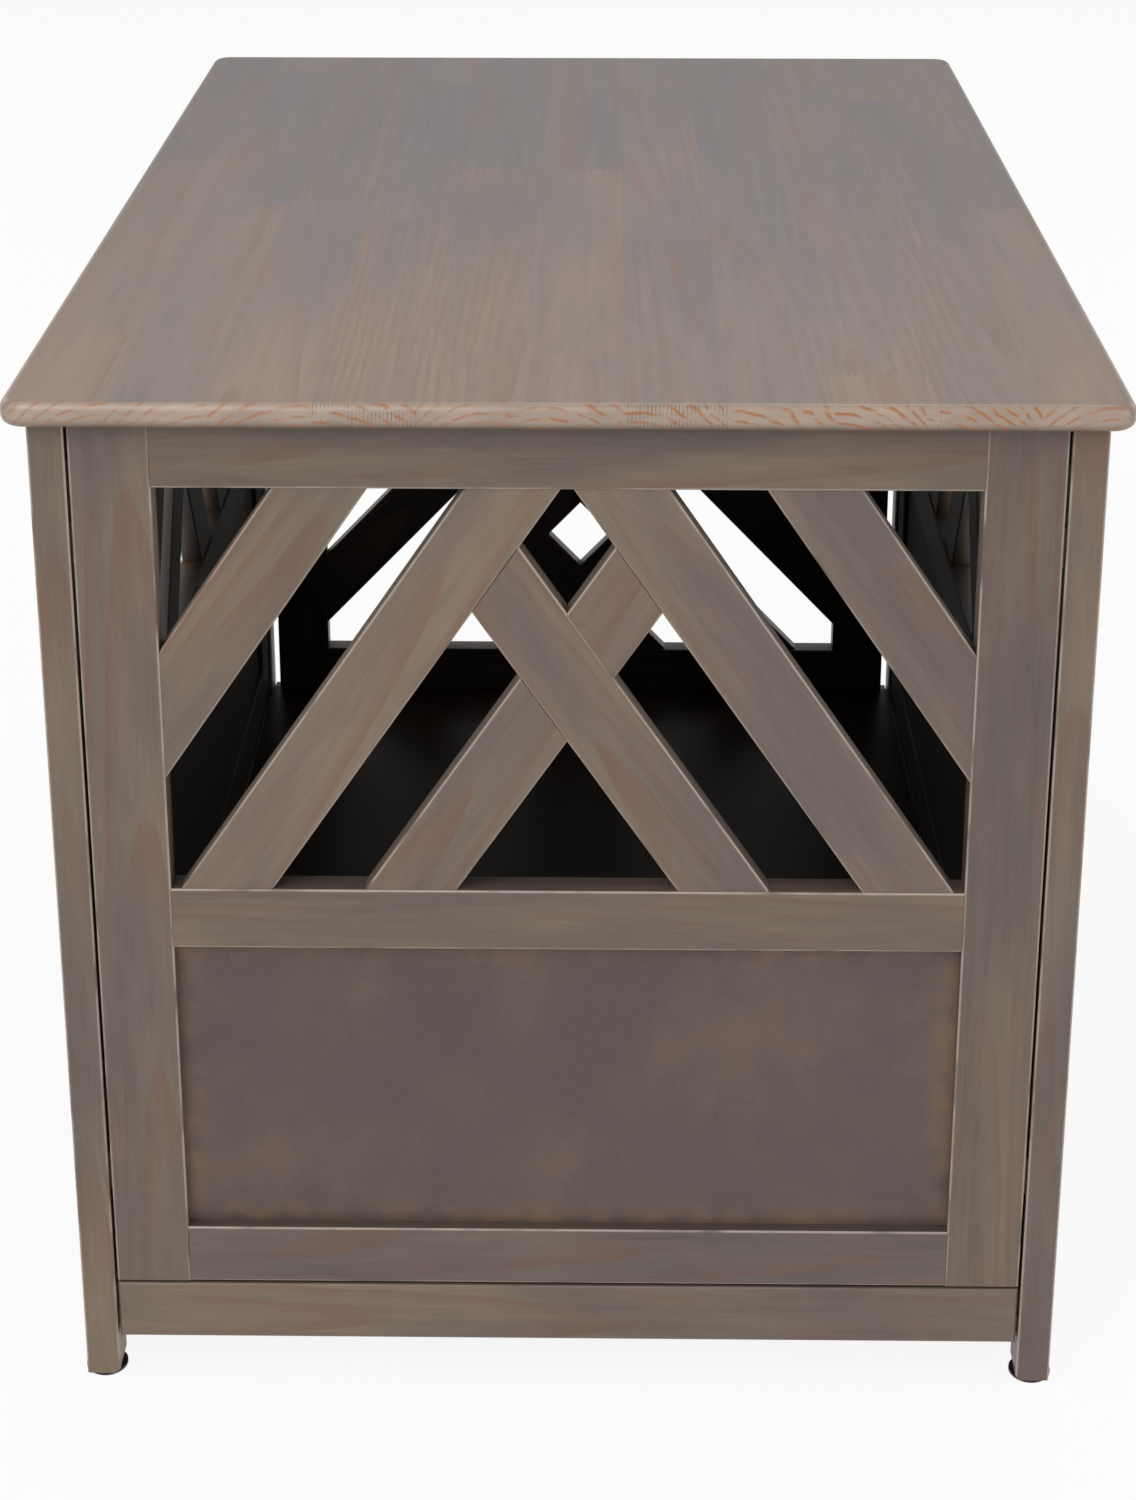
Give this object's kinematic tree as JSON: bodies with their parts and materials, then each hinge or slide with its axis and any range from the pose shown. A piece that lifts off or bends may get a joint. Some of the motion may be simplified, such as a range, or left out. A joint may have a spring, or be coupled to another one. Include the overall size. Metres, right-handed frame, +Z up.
{
  "type": "pet crate end table",
  "caption": "Wooden pet crate that is also an end table: panelled frames with chevron slats on four sides, a hinged end door with a slide bolt, and a flat overhanging top.",
  "frame": {"origin": "centre of the footprint on the floor", "axes": "+Z up, +Y towards the door end along the length, +X to the right seen from the rear end"},
  "size_m": [0.61, 0.914, 0.6295],
  "materials": {
    "frame_wood": "taupe stained pine, satin lacquer",
    "top_wood": "taupe stained finger-jointed pine, semi-gloss lacquer",
    "panel_board": "smooth stained fibreboard, satin",
    "floor_board": "dark laminate, semi-gloss",
    "inner_wood": "stained pine, matt",
    "hardware": "dark bronze, satin",
    "screws": "dark zinc, satin",
    "glide": "black plastic"
  },
  "bodies": {
    "cabinet": {"bolt_keeper": "hardware", "corner_block_screws": "screws", "corner_blocks": "inner_wood", "door_apron": "frame_wood", "floor_end_cleats": "inner_wood", "floor_panel": "floor_board", "floor_side_cleats": "inner_wood", "high_hinge_leg_leaf": "hardware", "hinge_pins": "hardware", "left_apron": "frame_wood", "left_bottom_rail": "frame_wood", "left_left_stile": "frame_wood", "left_lower_panel": "panel_board", "left_middle_rail": "frame_wood", "left_right_stile": "frame_wood", "left_slats": "frame_wood", "left_top_rail": "frame_wood", "leg_door_left": "frame_wood", "leg_door_right": "frame_wood", "leg_glides": "glide", "leg_hardware_screws": "screws", "leg_rear_left": "frame_wood", "leg_rear_right": "frame_wood", "loose_tenons": "inner_wood", "low_hinge_leg_leaf": "hardware", "rear_apron": "frame_wood", "rear_bottom_rail": "frame_wood", "rear_left_stile": "frame_wood", "rear_lower_panel": "panel_board", "rear_middle_rail": "frame_wood", "rear_right_stile": "frame_wood", "rear_slat_left_1": "frame_wood", "rear_slat_left_2": "frame_wood", "rear_slat_left_3": "frame_wood", "rear_slat_right_1": "frame_wood", "rear_slat_right_2": "frame_wood", "rear_slat_right_3": "frame_wood", "rear_top_rail": "frame_wood", "right_apron": "frame_wood", "right_bottom_rail": "frame_wood", "right_left_stile": "frame_wood", "right_lower_panel": "panel_board", "right_middle_rail": "frame_wood", "right_right_stile": "frame_wood", "right_slats": "frame_wood", "right_top_rail": "frame_wood", "tabletop": "top_wood"},
    "door": {"bolt_plate": "hardware", "door_bottom_rail": "frame_wood", "door_hardware_screws": "screws", "door_left_slats": "frame_wood", "door_left_stile": "frame_wood", "door_right_slats": "frame_wood", "door_right_stile": "frame_wood", "door_top_rail": "frame_wood", "high_hinge_door_leaf": "hardware", "low_hinge_door_leaf": "hardware"},
    "bolt": {"slide_bolt": "hardware"}
  },
  "joints": [
    {"name": "door_hinge", "type": "hinge", "parent": "cabinet", "child": "door", "pos_m": [-0.269, 0.4475, 0.3], "axis": [0, 0, 1], "range_deg": [0, 170]},
    {"name": "bolt_slide", "type": "slide", "parent": "door", "child": "bolt", "axis": [1, 0, 0], "range_m": [0, 0.02]}
  ]
}
